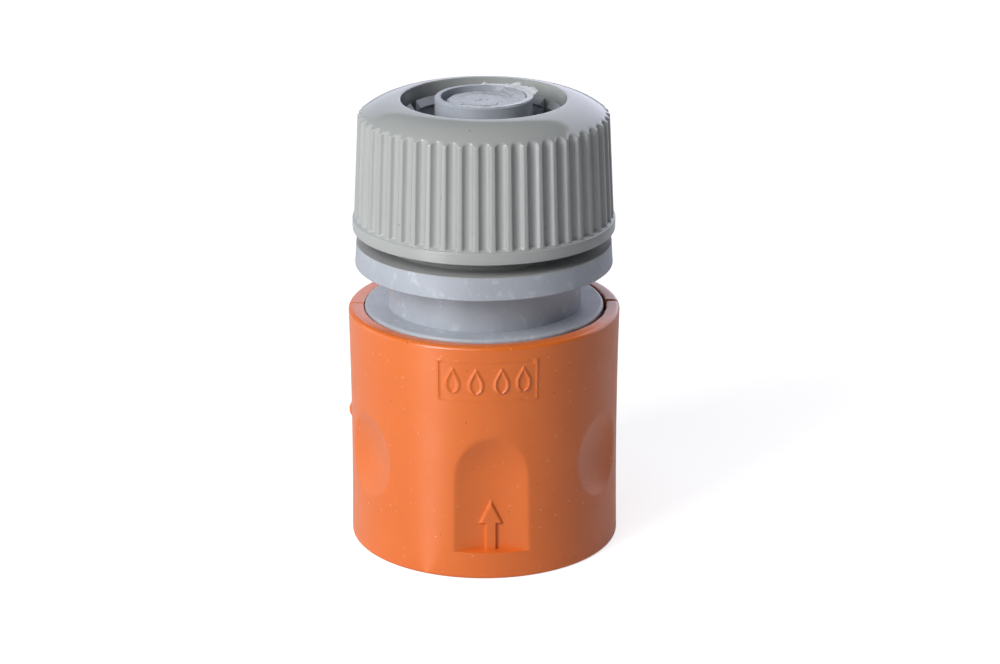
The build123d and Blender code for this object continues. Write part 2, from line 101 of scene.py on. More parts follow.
def raw_object(name, verts, faces, sharp):
    """Object made of points in millimetres, shaded smooth but for edges sharper than sharp degrees."""
    mesh = bpy.data.meshes.new(name)
    mesh.from_pydata((np.asarray(verts) * MM).tolist(), [], [list(face) for face in faces])
    shell = bmesh.new()
    shell.from_mesh(mesh)
    bmesh.ops.remove_doubles(shell, verts=shell.verts, dist=MERGE_WITHIN)
    bmesh.ops.recalc_face_normals(shell, faces=shell.faces)
    shell.to_mesh(mesh)
    shell.free()
    mesh.polygons.foreach_set("use_smooth", [True] * len(mesh.polygons))
    mesh.set_sharp_from_angle(angle=math.radians(sharp))
    obj = bpy.data.objects.new(name, mesh)
    bpy.context.collection.objects.link(obj)
    return obj


def dressed(obj, body, slot, material, *nodes):
    """Gives the piece its material and body, and lets it stand in for the CAD nodes. The slot is not
    used.
    """
    obj.data.materials.append(material)
    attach(obj, body)
    if nodes:
        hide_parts(*nodes)


def smooth_step(x, low, high):
    """0 at low, 1 at high and level at both ends. It falls where low is the larger one."""
    t = np.clip((x - low) / (high - low), 0, 1)
    return t * t * (3 - 2 * t)


def soft_above(x, soft):
    """x where it is above zero, else zero, with a rounded bend."""
    return (x + np.sqrt(x * x + soft * soft)) / 2


def hill(x, half_width, power=2):
    """1 at x = 0, falling to 0 beyond the half width, with a flatter top for a higher power."""
    return np.exp(-((x / half_width) ** power))


def turn_between(az, centre):
    """Turn from the centre to az, between -180 and 180."""
    return (az - centre + 180) % 360 - 180


def wobble(x, seed, *waves):
    """Sum of a few sines with fixed phases: the same unevenness at each run."""
    draw = np.random.default_rng(seed)
    total = 0
    for length, height in waves:
        total = total + height * np.sin(2 * math.pi * x / length + draw.uniform(0, 2 * math.pi))
    return total


# Material helpers

def node(tree, kind, **settings):
    """New node. A setting is the value of the input with its name, or else a property."""
    made = tree.nodes.new(kind)
    for key, value in settings.items():
        if key in made.inputs:
            made.inputs[key].default_value = value
        else:
            setattr(made, key, value)
    return made


def texture(tree, kind, vector, **settings):
    """New texture or mapping node that reads the vector."""
    made = node(tree, kind, **settings)
    tree.links.new(vector, made.inputs["Vector"])
    return made


def ramp(tree, factor, *stops):
    """Colour ramp with (place, grey or colour) stops."""
    made = tree.nodes.new("ShaderNodeValToRGB")
    while len(made.color_ramp.elements) < len(stops):
        made.color_ramp.elements.new(0.5)
    for element, (place, value) in zip(made.color_ramp.elements, stops):
        element.position = place
        element.color = (value, value, value, 1) if isinstance(value, (int, float)) else (*value, 1)
    tree.links.new(factor, made.inputs["Fac"])
    return made.outputs["Color"]


def rising(tree, value, low, high, top=1.0):
    """0 at low and top at high, exact where the limits lie close together, unlike a ramp."""
    made = tree.nodes.new("ShaderNodeMapRange")
    tree.links.new(value, made.inputs["Value"])
    made.inputs["From Min"].default_value = low
    made.inputs["From Max"].default_value = high
    made.inputs["To Max"].default_value = top
    return made.outputs["Result"]


def mixed(tree, factor, a, b, blend="MIX"):
    """Mix of two colours. Each of factor, a and b is a socket, a number or a colour."""
    made = tree.nodes.new("ShaderNodeMix")
    made.data_type = "RGBA"
    made.blend_type = blend
    sockets = made.inputs["Factor"], made.inputs["A"], made.inputs["B"]
    for socket, value in zip(sockets, (factor, a, b)):
        if isinstance(value, bpy.types.NodeSocket):
            tree.links.new(value, socket)
        elif isinstance(value, (int, float)):
            socket.default_value = value if socket.type == "VALUE" else (value, value, value, 1)
        else:
            socket.default_value = (*value, 1)
    return made.outputs["Result"]


def product(tree, a, b):
    return mixed(tree, 1.0, a, b, "MULTIPLY")


def new_material(name):
    material = bpy.data.materials.new(name)
    material.use_nodes = True
    tree = material.node_tree
    return material, tree, tree.nodes["Principled BSDF"]


# Plastic and rubber

PLASTIC_IOR = 1.49

CLOUD_SCALE = 110.0
SCUFF_SCALE = 620.0
DUST_SCALE = 1050.0
GLOSS_SCALE = 300.0
SKIN_SCALE = 2600.0

CLOUD_FROM, CLOUD_TO = 0.35, 0.68
SCUFF_FROM, SCUFF_TO = 0.55, 0.74
DOT_CORE, DOT_EDGE = 0.07, 0.15
PALE_DOTS_FROM = 0.60
DARK_DOTS_FROM, DARK_DOTS_TO, DARK_DOTS_SHARE = 0.945, 0.96, 0.8
DARK_DOT_SHADE = 0.25
GLOSS_FROM, GLOSS_TO = 0.3, 0.7
SCUFF_ROUGHNESS = 0.75
SMOOTH_WITHIN = 0.0004
CLOUD_IN_SKIN = 0.25

# Painted shade: the collet fingers in the nut's opening are darkened, and the flange's top and the
# collar's foot, which the nut covers, get a darker, warmer grey where the nut's shadow falls. Each
# share rises between two radii or heights.
OUTSIDE_TAIL = (0.0066, 0.0074)
ABOVE_COLLAR = (0.044, 0.047)
FINGER_SHADE_COLOUR = (0.10, 0.10, 0.10)
ABOVE_FLANGE = (0.0397, 0.0399)
BELOW_THREAD = (0.0440, 0.0430)
GAP_SHADE_SHARE = 0.85
GAP_SHADE_COLOUR = (0.375, 0.375, 0.365)


def with_painted_shade(tree, where, height, colour, painted_shade):
    """The tail body's colour with painted shade on the collet fingers in the nut's opening and in the
    gap under the nut.
    """
    flat = node(tree, "ShaderNodeVectorMath", operation="MULTIPLY")
    flat.inputs[1].default_value = (1, 1, 0)
    tree.links.new(where, flat.inputs[0])
    off_axis = node(tree, "ShaderNodeVectorMath", operation="LENGTH")
    tree.links.new(flat.outputs["Vector"], off_axis.inputs[0])
    outside_tail = rising(tree, off_axis.outputs["Value"], *OUTSIDE_TAIL, painted_shade)
    # Painted shade: the collet fingers inside the nut's opening are darkened.
    finger_shade = product(tree, outside_tail, rising(tree, height, *ABOVE_COLLAR))
    colour = mixed(tree, finger_shade, colour, FINGER_SHADE_COLOUR)
    # Painted shade: a darker, warmer grey on the flange's top and the collar's foot in the gap under
    # the nut, where the nut's shadow falls.
    above_flange = rising(tree, height, *ABOVE_FLANGE, GAP_SHADE_SHARE)
    gap_shade = product(tree, above_flange, rising(tree, height, *BELOW_THREAD))
    return mixed(tree, gap_shade, colour, GAP_SHADE_COLOUR)


def plastic(name, base, shade, pale, rough, specks=0.0, scuffs=0.0, streak=(1, 1, 1), grain=0.00001,
            shine=0.5, smooth_above=None, smooth=0.26, painted_shade=0.0):
    """Moulded plastic: mottled colour, dust specks, scuffs, uneven gloss and a fine grain.

    base and shade are mottled, and pale is the colour of scuffs and specks. The roughness runs
    between the two values of rough, and is smooth above the height smooth_above.
    """
    material, tree, shader = new_material(name)
    shader.inputs["IOR"].default_value = PLASTIC_IOR
    shader.inputs["Specular IOR Level"].default_value = shine
    where = node(tree, "ShaderNodeTexCoord").outputs["Object"]
    place = node(tree, "ShaderNodeSeparateXYZ")
    tree.links.new(where, place.inputs[0])
    height = place.outputs["Z"]

    noise = "ShaderNodeTexNoise"
    cloud = texture(tree, noise, where, Scale=CLOUD_SCALE, Detail=4.0, Roughness=0.6).outputs["Fac"]
    mottle = ramp(tree, cloud, (CLOUD_FROM, 0.0), (CLOUD_TO, 1.0))
    colour = mixed(tree, mottle, base, shade)

    stretch = texture(tree, "ShaderNodeMapping", where, Scale=streak).outputs["Vector"]
    rub = texture(tree, noise, stretch, Scale=SCUFF_SCALE, Detail=7.0, Roughness=0.72).outputs["Fac"]
    scuff = ramp(tree, rub, (SCUFF_FROM, 0.0), (SCUFF_TO, scuffs))
    colour = mixed(tree, scuff, colour, pale)
    # Painted shade on the tail body: the collet fingers in the nut's opening and the gap under the
    # nut.
    if painted_shade:
        colour = with_painted_shade(tree, where, height, colour, painted_shade)

    dust = texture(tree, "ShaderNodeTexVoronoi", where, Scale=DUST_SCALE)
    dot = ramp(tree, dust.outputs["Distance"], (DOT_CORE, 1.0), (DOT_EDGE, 0.0))
    pick = node(tree, "ShaderNodeSeparateColor")
    tree.links.new(dust.outputs["Color"], pick.inputs["Color"])
    chosen = ramp(tree, pick.outputs["Red"], (PALE_DOTS_FROM, 0.0), (1.0, specks))
    speck = product(tree, dot, chosen)
    colour = mixed(tree, speck, colour, pale)
    dark_stops = (DARK_DOTS_FROM, 0.0), (DARK_DOTS_TO, DARK_DOTS_SHARE)
    dark_speck = product(tree, dot, ramp(tree, pick.outputs["Green"], *dark_stops))
    colour = mixed(tree, dark_speck, colour, [DARK_DOT_SHADE * c for c in shade])
    tree.links.new(colour, shader.inputs["Base Color"])

    gloss = texture(tree, noise, where, Scale=GLOSS_SCALE, Detail=5.0, Roughness=0.65).outputs["Fac"]
    roughness = ramp(tree, gloss, (GLOSS_FROM, rough[0]), (GLOSS_TO, rough[1]))
    roughness = mixed(tree, scuff, roughness, SCUFF_ROUGHNESS)
    if smooth_above:
        on_top = rising(tree, height, smooth_above, smooth_above + SMOOTH_WITHIN)
        roughness = mixed(tree, on_top, roughness, smooth)
    tree.links.new(roughness, shader.inputs["Roughness"])

    skin = texture(tree, noise, where, Scale=SKIN_SCALE, Detail=3.0).outputs["Fac"]
    relief = mixed(tree, speck, mixed(tree, CLOUD_IN_SKIN, skin, cloud), 1.0)
    bump = node(tree, "ShaderNodeBump", Strength=1.0, Distance=grain)
    tree.links.new(relief, bump.inputs["Height"])
    tree.links.new(bump.outputs["Normal"], shader.inputs["Normal"])
    return material


ORANGE = plastic(
    "orange_moulding", (0.785, 0.172, 0.023), (0.76, 0.161, 0.021), (0.93, 0.50, 0.28), (0.34, 0.42),
    specks=0.8, scuffs=0.06, shine=0.65, smooth_above=0.0304,
)
NUT_GREY = plastic(
    "nut_moulding", (0.405, 0.424, 0.416), (0.387, 0.406, 0.398), (0.58, 0.59, 0.59), (0.18, 0.24),
    specks=0.3, scuffs=0.04, smooth_above=0.0556, smooth=0.09,
)
# Its share of 0.32 paints shade on the collet fingers in the nut's opening, and turns on the painted
# shade in the gap under the nut.
BODY_GREY = plastic(
    "body_moulding", (0.440, 0.478, 0.530), (0.378, 0.410, 0.458), (0.80, 0.83, 0.88), (0.32, 0.46),
    specks=0.45, scuffs=0.55, streak=(1, 1, 0.7), grain=0.00002, painted_shade=0.32,
)
VALVE_GREY = plastic(
    "valve_moulding", (0.38, 0.413, 0.443), (0.338, 0.37, 0.40), (0.54, 0.58, 0.64), (0.20, 0.32),
    specks=0.3, scuffs=0.25, grain=0.000006,
)
FILM_GREY = plastic(
    "thin_film", (0.68, 0.70, 0.73), (0.60, 0.62, 0.65), (0.78, 0.80, 0.84), (0.10, 0.26),
    specks=0.2, scuffs=0.5, grain=0.00004,
)
JAW_WHITE = plastic(
    "jaw_moulding", (0.70, 0.70, 0.66), (0.64, 0.64, 0.60), (0.80, 0.80, 0.78), (0.38, 0.50),
    specks=0.2,
)
RUBBER = plastic(
    "greased_rubber", (0.014, 0.014, 0.015), (0.022, 0.022, 0.022), (0.09, 0.09, 0.09), (0.28, 0.55),
    specks=0.3, scuffs=0.4,
)


# Spring wire

PATCH_SCALE = 420.0
DRAWN_SCALE = 5200.0
BRIGHT_STEEL = (0.60, 0.60, 0.62)
DARK_STEEL = (0.40, 0.40, 0.43)
STEEL_ROUGHNESS = ((0.35, 0.22), (0.7, 0.42))
DRAWN_BUMP = 0.000008


def wire_steel(name):
    """Drawn spring wire: bright metal with darker patches and a fine grain."""
    material, tree, shader = new_material(name)
    shader.inputs["Metallic"].default_value = 1.0
    where = node(tree, "ShaderNodeTexCoord").outputs["Object"]
    patch = texture(tree, "ShaderNodeTexNoise", where, Scale=PATCH_SCALE, Detail=4.0).outputs["Fac"]
    colour = mixed(tree, ramp(tree, patch, (0.4, 0.0), (0.7, 1.0)), BRIGHT_STEEL, DARK_STEEL)
    tree.links.new(colour, shader.inputs["Base Color"])
    tree.links.new(ramp(tree, patch, *STEEL_ROUGHNESS), shader.inputs["Roughness"])
    fine = texture(tree, "ShaderNodeTexNoise", where, Scale=DRAWN_SCALE, Detail=2.0)
    bump = node(tree, "ShaderNodeBump", Strength=0.6, Distance=DRAWN_BUMP)
    tree.links.new(fine.outputs["Fac"], bump.inputs["Height"])
    tree.links.new(bump.outputs["Normal"], shader.inputs["Normal"])
    return material


STEEL = wire_steel("spring_wire")


# Release sleeve: the body

SLEEVE_H = 31.2
SLEEVE_FOOT_R = 17.45
SLEEVE_WAIST_Z = 10.7
SLEEVE_WAIST_R = 17.3
SLEEVE_TOP_R = 17.5
SIDE = np.polyfit((0.0, SLEEVE_WAIST_Z, SLEEVE_H), (SLEEVE_FOOT_R, SLEEVE_WAIST_R, SLEEVE_TOP_R), 2)
FOOT_ROUND = 0.45
TOP_ROUND = 0.6

# Points (r, z) of its inside, from the top edge down the bore, round the ring with the jaws' land
# and cone, and out along the foot
SLEEVE_INSIDE = [
    (16.5, 31.2), (16.1, 31.2), (15.95, 31.17), (15.84, 31.1), (15.8, 31.0), (15.8, 21.0),
    (15.0, 21.0), (15.0, 2.4), (14.1, 2.4), (14.1, 14.85), (13.95, 15.0), (11.35, 15.0),
    (11.2, 14.85), (11.2, 9.0), (12.268, 3.2), (12.9, 3.2), (12.9, 0.2), (13.1, 0.0),
]
OUTSIDE_R = 16.4


# Release sleeve: thumb recesses with a raised arrow, and finger dimples

ARCHES = (1.25, 181.25)
ARCH_FOOT_Z = 3.6
ARCH_FOOT_WALL = (ARCH_FOOT_Z - 0.03, ARCH_FOOT_Z + 0.05)
ARCH_SPRING_Z = 13.4
ARCH_END_H = 9
ARCH_END_R = 13.0
ARCH_FLOOR_R = 16.0
ARCH_HOLLOW_R = 16.6
ARCH_REACH = 8
ARCH_HALF_TURN = 0.4
ARCH_BEND = 0.10
ARCH_BEND_SUNK = 0.02
ROOT_MARGIN = 0.1

ARROW_TIP_Z, ARROW_BARB_Z, ARROW_FOOT_Z = 10.3, 7.15, 3.0
BARB_X, SHAFT_X = 1.55, 0.75
ARROW = np.array([
    (0, ARROW_TIP_Z), (BARB_X, ARROW_BARB_Z), (SHAFT_X, ARROW_BARB_Z), (SHAFT_X, ARROW_FOOT_Z),
    (-SHAFT_X, ARROW_FOOT_Z), (-SHAFT_X, ARROW_BARB_Z), (-BARB_X, ARROW_BARB_Z),
])
ARROW_R = 16.3
ARROW_H = 0.41
ARROW_WALL = (-0.08, 0.20)
ARROW_REACH = 3
ARROW_HALF_TURN = 0.2

DIMPLES = (-61.5, 57.7, 120.0, -120.0)
DIMPLE_Z = 13.6
DIMPLE_HALF_W = 4.8
DIMPLE_HALF_H = 5.5
DIMPLE_DEPTH = 1.2
DIMPLE_BEND = 0.05
DIMPLE_BEND_SUNK = 0.006
DIMPLE_REACH = 1.6


def polygon_depth(x, y, corners):
    """Distance inside a polygon, negative outside."""
    nearest = np.full(x.shape, 1e9)
    inside = np.zeros(x.shape, bool)
    for (ax, ay), (bx, by) in zip(corners, np.roll(corners, -1, 0)):
        ex, ey = bx - ax, by - ay
        t = np.clip(((x - ax) * ex + (y - ay) * ey) / (ex * ex + ey * ey), 0, 1)
        nearest = np.minimum(nearest, np.hypot(x - ax - t * ex, y - ay - t * ey))
        crosses = (ay > y) != (by > y)
        with np.errstate(divide="ignore", invalid="ignore"):
            inside ^= crosses & (x < ex * (y - ay) / (ey if ey else 1e-9) + ax)
    return np.where(inside, nearest, -nearest)


def arch_hollow(u, reach):
    """Rise of the recess's hollow floor at u beside its middle."""
    return ARCH_HOLLOW_R - np.sqrt(ARCH_HOLLOW_R**2 - np.clip(u, -reach, reach) ** 2)


def arch_depth(off, z, side):
    """Depth of a recess, off radians from its middle: hollow floor, round end, step at its foot."""
    end_r = ARCH_END_R - arch_hollow(side * np.sin(off), ARCH_REACH)
    up = np.clip(z - ARCH_SPRING_Z, 0, ARCH_END_R - ROOT_MARGIN)
    end = np.sqrt(end_r**2 - np.minimum(up, end_r - ROOT_MARGIN) ** 2)
    depth = side * np.cos(off) - (ARCH_FLOOR_R + ARCH_END_R - end)
    depth = (soft_above(depth, ARCH_BEND) - ARCH_BEND_SUNK) * smooth_step(z, *ARCH_FOOT_WALL)
    return np.where((np.abs(off) < ARCH_HALF_TURN) & (up < ARCH_END_H), depth, 0)


def arrow_height(off, z):
    """Height of the arrow on the recess's floor."""
    x = ARROW_R * np.sin(off)
    wall = smooth_step(polygon_depth(x, z, ARROW), *ARROW_WALL) * (z > ARCH_FOOT_Z - 2 * HAIR)
    return wall * (ARROW_H - arch_hollow(x, ARROW_REACH)) * (np.abs(off) < ARROW_HALF_TURN)


def dimple_depth(x, z):
    out = (x / DIMPLE_HALF_W) ** 2 + ((z - DIMPLE_Z) / DIMPLE_HALF_H) ** 2
    bowl = soft_above(DIMPLE_DEPTH * (1 - out), DIMPLE_BEND) - DIMPLE_BEND_SUNK
    return bowl * (out < DIMPLE_REACH)


# Release sleeve: the raised frame with four drops

FRAME_TURNS = (-20.8, 20.5)
FRAME_Z = (24.2, 29.3)
FRAME_LINE_W = 0.13
FRAME_H = 0.085
FRAME_REACH = 0.6
UPRIGHT_H = (0.09, 0.05)
UPRIGHT_REACH = (0.6, 0.1)
FRAME_WAVES = ((2.7, 0.3), (1.1, 0.25), (0.61, 0.2))
BLOB_IN, BLOB_Z, BLOB_H = 0.2, 28.9, 0.16
BLOB_W, BLOB_L = 0.28, 0.30

DROPS = ((-14.8, 26.7), (-5.0, 26.6), (5.5, 26.7), (14.6, 26.8))
DROP_TIP_Y, DROP_FOOT_Y = 1.75, -1.6
DROP_HEAD_L, DROP_HEAD_HALF_W, DROP_HEAD_POWER = 1.7, 0.92, 0.85
DROP_ROUND_Y, DROP_ROUND_HALF_W, DROP_ROUND_HALF_H = -0.5, 0.95, 1.1
DROP_SPLIT_Y = -0.25
DROP_LINE_IN, DROP_LINE_W, DROP_LINE_H = 0.18, 0.20, 0.20
DROP_OUTSIDE = -0.4
DROP_REACH = (1.6, 2.4)


def frame_height(x, z, left, right):
    """Thin uneven line around the drops, firmer at its two uprights, with a blob at one corner."""
    beside = np.minimum(x - left, right - x)
    edge = np.minimum(beside, np.minimum(z - FRAME_Z[0], FRAME_Z[1] - z))
    uneven = np.clip(0.6 + wobble(x + 2 * z, 4, *FRAME_WAVES), 0, 1.4)
    upright = smooth_step(beside, *UPRIGHT_REACH) * np.where(x < 0, *UPRIGHT_H)
    line = hill(edge, FRAME_LINE_W) * (FRAME_H * uneven + upright) * (np.abs(edge) < FRAME_REACH)
    return line + BLOB_H * hill(x - right + BLOB_IN, BLOB_W) * hill(z - BLOB_Z, BLOB_L)


def drop_height(x, y):
    """Raised outline of a drop with its tip up, x and y from its middle."""
    low = (y - DROP_ROUND_Y) / DROP_ROUND_HALF_H
    foot = DROP_ROUND_HALF_W * np.sqrt(np.clip(1 - low**2, 0, 1))
    head = DROP_HEAD_HALF_W * np.clip((DROP_TIP_Y - y) / DROP_HEAD_L, 0, 1) ** DROP_HEAD_POWER
    inside = np.where(y < DROP_SPLIT_Y, foot, head) - np.abs(x)
    inside = np.where((y > DROP_TIP_Y) | (y < DROP_FOOT_Y), DROP_OUTSIDE, inside)
    near = (np.abs(x) < DROP_REACH[0]) * (np.abs(y) < DROP_REACH[1])
    return DROP_LINE_H * hill(inside - DROP_LINE_IN, DROP_LINE_W) * near


# Release sleeve: marks of its moulding and use

PARTING = (-92.0, 91.7)
PARTING_H, PARTING_W, PARTING_TOP_Z = 0.045, 0.12, 30.4
STUB_TURN, STUB_Z = -91.4, 16.6
STUB_H, STUB_HALF_W, STUB_HALF_L = 0.32, 0.40, 0.75
SCRATCH_TURN, SCRATCH_Z, SCRATCH_SLANT = -45.9, 19.5, 0.05
SCRATCH_H, SCRATCH_W, SCRATCH_HALF_L = 0.06, 0.10, 1.35

# The bore's upper part leans, so that the gap around the round plate is widest at the right
BORE_R = (15.5, 16.2)
BORE_FOOT_Z = 20.5
BORE_LEAN = 0.15
BURR_H, BURR_TURN, BURR_Z = 0.09, 90, 30.8
BURR_ENDS = (18, 12)
BURR_WAVES = ((9.1, 0.5), (4.3, 0.5), (2.2, 0.4))

# Notches in the top edge at the parting line, a fine one at the left and a wider one at the right
TOP_Z = 30.9
LEFT_NOTCH, LEFT_NOTCH_W = 0.10, 0.08
RIGHT_NOTCH, RIGHT_NOTCH_W = 0.34, 0.12
RIGHT_NOTCH_FLARE, RIGHT_NOTCH_R = 0.07, 17.3


def sleeve_shape(az, r, z):
    side = np.polyval(SIDE, z)
    across = side * np.radians(1)

    def beside(turn):
        """Distance from a turn, along the side."""
        return turn_between(az, turn) * across

    low = np.zeros_like(r)
    high = np.zeros_like(r)
    for turn in ARCHES:
        off = np.radians(turn_between(az, turn))
        low = np.maximum(low, arch_depth(off, z, side))
        high = high + arrow_height(off, z)
    for turn in DIMPLES:
        low = np.maximum(low, dimple_depth(beside(turn), z))
    high = high + frame_height(beside(0), z, FRAME_TURNS[0] * across, FRAME_TURNS[1] * across)
    for turn, middle in DROPS:
        high = high + drop_height(beside(turn), z - middle)
    for turn in PARTING:
        high = high + PARTING_H * hill(beside(turn), PARTING_W) * (z < PARTING_TOP_Z)
    stub = hill(beside(STUB_TURN), STUB_HALF_W, 4) * hill(z - STUB_Z, STUB_HALF_L, 4)
    up = z - SCRATCH_Z
    scratch = hill(beside(SCRATCH_TURN) + SCRATCH_SLANT * up, SCRATCH_W) * hill(up, SCRATCH_HALF_L, 6)
    high = high + STUB_H * stub + SCRATCH_H * scratch

    bore = (r > BORE_R[0]) & (r < BORE_R[1]) & (z > BORE_FOOT_Z)
    burr = np.clip(wobble(az, 9, *BURR_WAVES), 0, 2) * smooth_step(np.abs(az - BURR_TURN), *BURR_ENDS)
    inwards = BORE_LEAN * (1 - np.sin(np.radians(az))) + BURR_H * burr * (z > BURR_Z)

    flare = RIGHT_NOTCH_W + RIGHT_NOTCH_FLARE * np.clip(RIGHT_NOTCH_R - r, 0, 2)
    notch = LEFT_NOTCH * hill(beside(PARTING[0]), LEFT_NOTCH_W)
    notch = notch + RIGHT_NOTCH * hill(beside(PARTING[1]), flare)
    r = r + np.where(r > OUTSIDE_R, high - low, 0) - np.where(bore, inwards, 0)
    return az, r, z - np.where(z > TOP_Z, notch, 0)


# Release sleeve: its mesh, finest at the arrows, frame, drops and marks

MEAN_SIDE_R = 17.4
# (start, end, step in millimetres) of its columns
SLEEVE_RUNS = (
    (-93, -90.4, 0.07), (-90.4, -80, 0.40), (-80, -46.6, 0.32), (-46.6, -45.2, 0.07),
    (-45.2, -22, 0.34), (-22, 22, 0.125), (22, 40, 0.34), (40, 76, 0.32), (76, 90.7, 0.25),
    (90.7, 92.7, 0.06), (92.7, 104, 0.25), (104, 139, 0.34), (139, 160, 0.45), (160, 175.5, 0.30),
    (175.5, 187, 0.125), (187, 202, 0.30), (202, 221, 0.45), (221, 259, 0.34), (259, 267, 0.45),
)
# (start, end, step) of its rows, and the rows across the step at the recess's foot
SIDE_ROWS = (
    (0.45, 3.4, 0.32), (3.85, 10.6, 0.14), (10.7, 15.4, 0.38), (15.5, 17.8, 0.24),
    (18.0, 23.8, 0.38), (23.9, 29.6, 0.115), (29.75, 30.6, 0.26),
)
ARCH_FOOT_ROWS = (3.48, 3.54, 3.58, 3.62, 3.66, 3.72)
FOOT_ARC = np.radians((0, 18, 36, 54, 72))
TOP_ARC = np.radians((8, 22, 36, 50, 64, 78, 90))


def sleeve_azimuths():
    out = []
    for start, end, step in SLEEVE_RUNS:
        parts = max(1, round(math.radians(end - start) * MEAN_SIDE_R / step))
        out += [start + (end - start) * k / parts for k in range(parts)]
    return out


def sleeve_outline():
    foot_r, top_r = SLEEVE_FOOT_R - FOOT_ROUND, SLEEVE_TOP_R - TOP_ROUND
    top_z = SLEEVE_H - TOP_ROUND
    foot = [
        (foot_r + FOOT_ROUND * math.sin(a), FOOT_ROUND - FOOT_ROUND * math.cos(a)) for a in FOOT_ARC
    ]
    heights = np.sort(np.concatenate([np.arange(*run) for run in SIDE_ROWS] + [ARCH_FOOT_ROWS]))
    side = [(np.polyval(SIDE, z), z) for z in heights]
    top = [(top_r + TOP_ROUND * math.cos(a), top_z + TOP_ROUND * math.sin(a)) for a in TOP_ARC]
    return np.array(foot + side + top + SLEEVE_INSIDE)


sleeve = raw_object(
    "sleeve_moulding", *turned(sleeve_outline(), sleeve_azimuths(), sleeve_shape), sharp=32,
)
dressed(sleeve, "sleeve", "orange_plastic", ORANGE, "release_sleeve")


# Hose nut

NUT_Z = 41.6
BAND_R = 16.8
BAND_H = 1.6
BAND_INSIDE_R = 13.8
NUT_BORE_R = 13.5
NUT_OUTSIDE_R = 13.6
BAND_FOOT_ROUND, BAND_TOP_ROUND = 0.18, 0.22
NUT_SIDE_R = 16.6
NUT_SIDE_TOP_R = 15.95
NUT_SIDE_H = 13.1
DRAFT = (NUT_SIDE_R - NUT_SIDE_TOP_R) / NUT_SIDE_H
OPENING_R = 10.5
NUT_H = 16.9
SHOULDER_BULGE = 0.47
SHOULDER_STEPS = 34
# Points (r, z) of its inside, from the opening's rounded edge down
NUT_INSIDE = [
    (10.62, 58.46), (10.53, 58.40), (OPENING_R, 58.1), (OPENING_R, NUT_Z + 13.6),
    (NUT_BORE_R, NUT_Z + 7.6), (NUT_BORE_R, NUT_Z + 0.3),
]
FLUTE_ROOT_HEIGHTS = (43.21, 43.3, 43.4, 43.5, 43.7, 44.2, 45, 46, 47.5, 49, 50.5, 52, 53.5, 54.4)
FLUTE_HEAD_HEIGHTS = (54.7, 56.25, 0.16)

FLUTES = 50
FLUTE_AZ = -1.3
FLUTE_R = 0.765
FLUTE_DEPTH = 0.52
FLUTE_BEND = 0.12
FLUTE_SPREAD = 0.5
FLUTE_FOOT = (NUT_Z + 1.62, NUT_Z + 1.95)
# Shares of the half pitch at which the nut's columns stand, close together at a flute's edge
FLUTE_SHARES = np.array((0, 0.20, 0.37, 0.50, 0.61, 0.70, 0.79, 0.89))


def nut_side_r(z):
    return NUT_SIDE_R - DRAFT * (z - NUT_Z - BAND_H)


def nut_shoulder():
    """Points of the domed shoulder, from the side's top to the opening."""
    a = np.array((NUT_SIDE_TOP_R, NUT_Z + BAND_H + NUT_SIDE_H))
    b = np.array((OPENING_R, NUT_Z + NUT_H))
    chord = a - b
    length = np.linalg.norm(chord)
    out = np.array((-chord[1], chord[0])) / length
    radius = (length**2 / 4 + SHOULDER_BULGE**2) / (2 * SHOULDER_BULGE)
    centre = (a + b) / 2 + out * (SHOULDER_BULGE - radius)
    start, end = [math.atan2(*(p - centre)[::-1]) for p in (a, b)]
    turns = np.linspace(start, end, SHOULDER_STEPS)
    return [tuple(centre + radius * np.array((math.cos(t), math.sin(t)))) for t in turns]


def nut_shape(az, r, z):
    """Round flutes that follow the side's draft and run out into the shoulder."""
    pitch = 360 / FLUTES
    off = np.radians((az - FLUTE_AZ + pitch / 2) % pitch - pitch / 2)
    axis_r = nut_side_r(z) - FLUTE_DEPTH + FLUTE_R
    reach = FLUTE_R**2 - (axis_r * np.sin(off)) ** 2
    in_flute = axis_r * np.cos(off) - np.sqrt(np.maximum(reach, 0))
    beside_flute = axis_r * np.cos(off) + FLUTE_SPREAD * np.sqrt(np.maximum(-reach, 0))
    cut = soft_above(r - np.where(reach > 0, in_flute, beside_flute), FLUTE_BEND)
    on_side = (z > NUT_Z + BAND_H + HAIR) & (r > NUT_OUTSIDE_R)
    return az, np.where(on_side, r - cut * smooth_step(z, *FLUTE_FOOT), r), z


def flute_azimuths():
    """Azimuths around the nut, the same ones at each flute."""
    half = 180 / FLUTES
    shares = np.concatenate([FLUTE_SHARES, [1.0], 2 - FLUTE_SHARES[:0:-1]])
    return (FLUTE_AZ + half * (shares[None, :] + 2 * np.arange(FLUTES)[:, None])).ravel()


def nut_outline():
    """The band's first and last corners only lead its rounded edges, and are left out."""
    band = rounded([
        (NUT_BORE_R, NUT_Z, 0), (BAND_R, NUT_Z, BAND_FOOT_ROUND),
        (BAND_R, NUT_Z + BAND_H, BAND_TOP_ROUND), (NUT_SIDE_TOP_R, NUT_Z + BAND_H, 0),
    ])
    band = [(BAND_INSIDE_R, NUT_Z)] + [tuple(point) for point in band][1:-1]
    heights = FLUTE_ROOT_HEIGHTS + tuple(np.arange(*FLUTE_HEAD_HEIGHTS))
    side = [(nut_side_r(z), z) for z in heights]
    return np.array(band + side + nut_shoulder()[:-1] + NUT_INSIDE)


nut = raw_object("nut_moulding", *turned(nut_outline(), flute_azimuths(), nut_shape), sharp=50)
dressed(nut, "nut", "grey_plastic", NUT_GREY, "hose_nut")


# The other CAD nodes keep their shape

